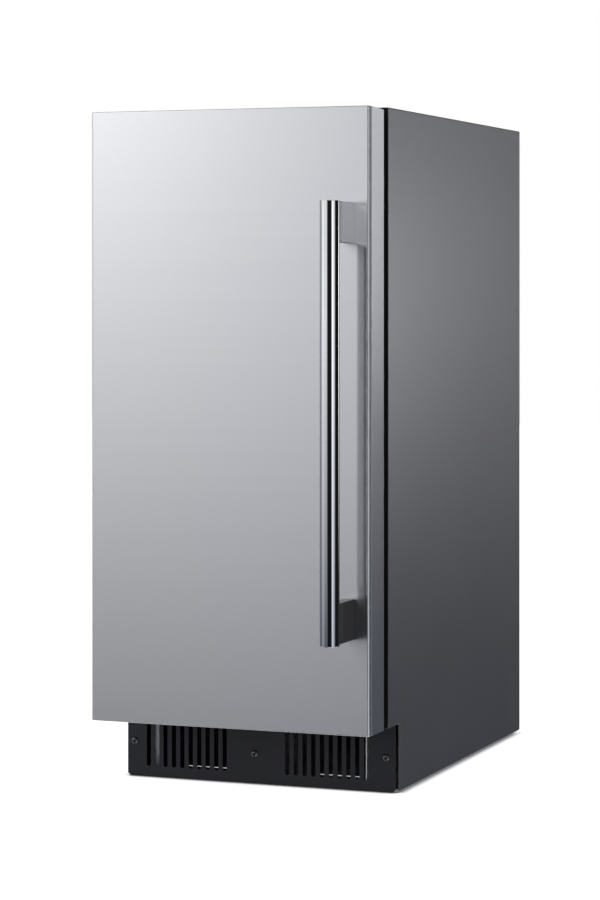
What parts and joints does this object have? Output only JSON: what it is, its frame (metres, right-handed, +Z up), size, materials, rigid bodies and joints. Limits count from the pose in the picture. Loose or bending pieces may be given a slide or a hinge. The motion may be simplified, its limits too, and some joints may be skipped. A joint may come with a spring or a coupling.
{
  "type": "undercounter ice maker",
  "caption": "Slim built-in ice maker with a full-height brushed steel door, long bar handle on the right, dark grey cabinet and black vented toe kick.",
  "frame": {"origin": "on the floor under the middle of the whole machine's box, handle included", "axes": "+Z up, -Y out of the door's face, +X towards the handle side of the closed door"},
  "size_m": [0.378, 0.707, 0.867],
  "materials": {
    "case_paint": "satin dark grey coat on sheet steel",
    "galvanised_steel": "galvanised sheet",
    "black_plastic": "moulded, matt",
    "foam": "rigid insulation foam",
    "white_plastic": "food-safe plastic, half gloss",
    "black_paint": "black powder coat",
    "dark_window": "smoked plastic, gloss",
    "light_diffuser": "frosted",
    "stainless_plate": "stainless sheet",
    "copper": "bare copper tube",
    "grey_plastic": "moulded, satin",
    "black_rubber": "soft, matt",
    "brushed_stainless": "fine brushed grain",
    "polished_stainless": "polished, faint turned grain",
    "zinc_plate": "zinc plated",
    "clear_plastic": "clear, gloss",
    "leg_black": "black coat"
  },
  "bodies": {
    "cabinet": {"side_panel_left": "case_paint", "side_panel_right": "case_paint", "top_panel": "case_paint", "back_panel": "galvanised_steel", "rear_cover": "galvanised_steel", "base_pan": "galvanised_steel", "front_frame": "black_plastic", "machine_deck": "galvanised_steel", "cabinet_foam": "foam", "liner": "white_plastic", "kick_plate": "black_paint", "case_screws": "black_paint", "top_hinge": "black_paint", "bottom_hinge": "black_paint", "control_panel": "black_plastic", "display_window": "dark_window", "light_lens": "light_diffuser", "evaporator_plate": "stainless_plate", "evaporator_coil": "copper", "evaporator_frame": "white_plastic", "water_distributor": "white_plastic", "water_trough": "white_plastic", "pump_motor": "grey_plastic", "scoop_holder": "white_plastic", "ice_level_sensor": "copper", "drain_fittings": "grey_plastic", "drain_hose": "black_rubber", "compressor": "black_paint", "compressor_mounts": "black_rubber", "condenser": "black_paint", "fan_shroud": "black_paint", "fan_motor": "grey_plastic", "air_baffle": "galvanised_steel", "hot_gas_valve": "zinc_plate", "refrigerant_pipes": "copper", "water_valve": "white_plastic", "water_tubes": "white_plastic", "power_inlet": "black_plastic", "electronics_box": "grey_plastic"},
    "door": {"door_front_panel": "brushed_stainless", "door_side_trims": "brushed_stainless", "door_end_caps": "black_plastic", "door_foam": "foam", "door_liner": "white_plastic", "door_gasket": "black_rubber", "hinge_bushes": "white_plastic", "handle_bar": "polished_stainless", "handle_posts": "brushed_stainless", "handle_screws": "zinc_plate"},
    "curtain": {"water_curtain": "clear_plastic"},
    "scoop": {"ice_scoop": "stainless_plate"},
    "retainer": {"ice_retainer": "white_plastic"},
    "power_key": {"power_button": "grey_plastic"},
    "clean_key": {"clean_button": "grey_plastic"},
    "fan": {"fan_blade": "black_plastic"},
    "impeller": {"pump_impeller": "black_plastic"},
    "leg_front_left": {"leg_front_left": "leg_black"},
    "leg_front_right": {"leg_front_right": "leg_black"},
    "leg_rear_left": {"leg_rear_left": "leg_black"},
    "leg_rear_right": {"leg_rear_right": "leg_black"}
  },
  "joints": [
    {"name": "door_hinge", "type": "hinge", "parent": "cabinet", "child": "door", "pos_m": [-0.177, -0.2485, 0.4765], "axis": [0, 0, -1], "range_deg": [0, 110]},
    {"name": "curtain_swing", "type": "hinge", "parent": "cabinet", "child": "curtain", "pos_m": [0, 0.06525, 0.786], "axis": [-1, 0, 0], "range_deg": [0, 50]},
    {"name": "scoop_lift", "type": "slide", "parent": "cabinet", "child": "scoop", "axis": [0, 0, 1], "range_m": [0, 0.06]},
    {"name": "retainer_lift", "type": "slide", "parent": "cabinet", "child": "retainer", "axis": [0, 0, 1], "range_m": [0, 0.14]},
    {"name": "power_press", "type": "slide", "parent": "cabinet", "child": "power_key", "axis": [0, 1, 0], "range_m": [0, 0.0015], "stiffness_N_per_m": 400},
    {"name": "clean_press", "type": "slide", "parent": "cabinet", "child": "clean_key", "axis": [0, 1, 0], "range_m": [0, 0.0015], "stiffness_N_per_m": 400},
    {"name": "fan_spin", "type": "hinge", "parent": "cabinet", "child": "fan", "pos_m": [-0.07, -0.08, 0.108], "axis": [0, 1, 0], "continuous": true},
    {"name": "pump_spin", "type": "hinge", "parent": "cabinet", "child": "impeller", "pos_m": [0.08, 0.142, 0.515], "axis": [0, 0, 1], "continuous": true},
    {"name": "leg_front_left_screw", "type": "slide", "parent": "cabinet", "child": "leg_front_left", "axis": [0, 0, -1], "range_m": [0, 0.019]},
    {"name": "leg_front_right_screw", "type": "slide", "parent": "cabinet", "child": "leg_front_right", "axis": [0, 0, -1], "range_m": [0, 0.019]},
    {"name": "leg_rear_left_screw", "type": "slide", "parent": "cabinet", "child": "leg_rear_left", "axis": [0, 0, -1], "range_m": [0, 0.019]},
    {"name": "leg_rear_right_screw", "type": "slide", "parent": "cabinet", "child": "leg_rear_right", "axis": [0, 0, -1], "range_m": [0, 0.019]}
  ]
}
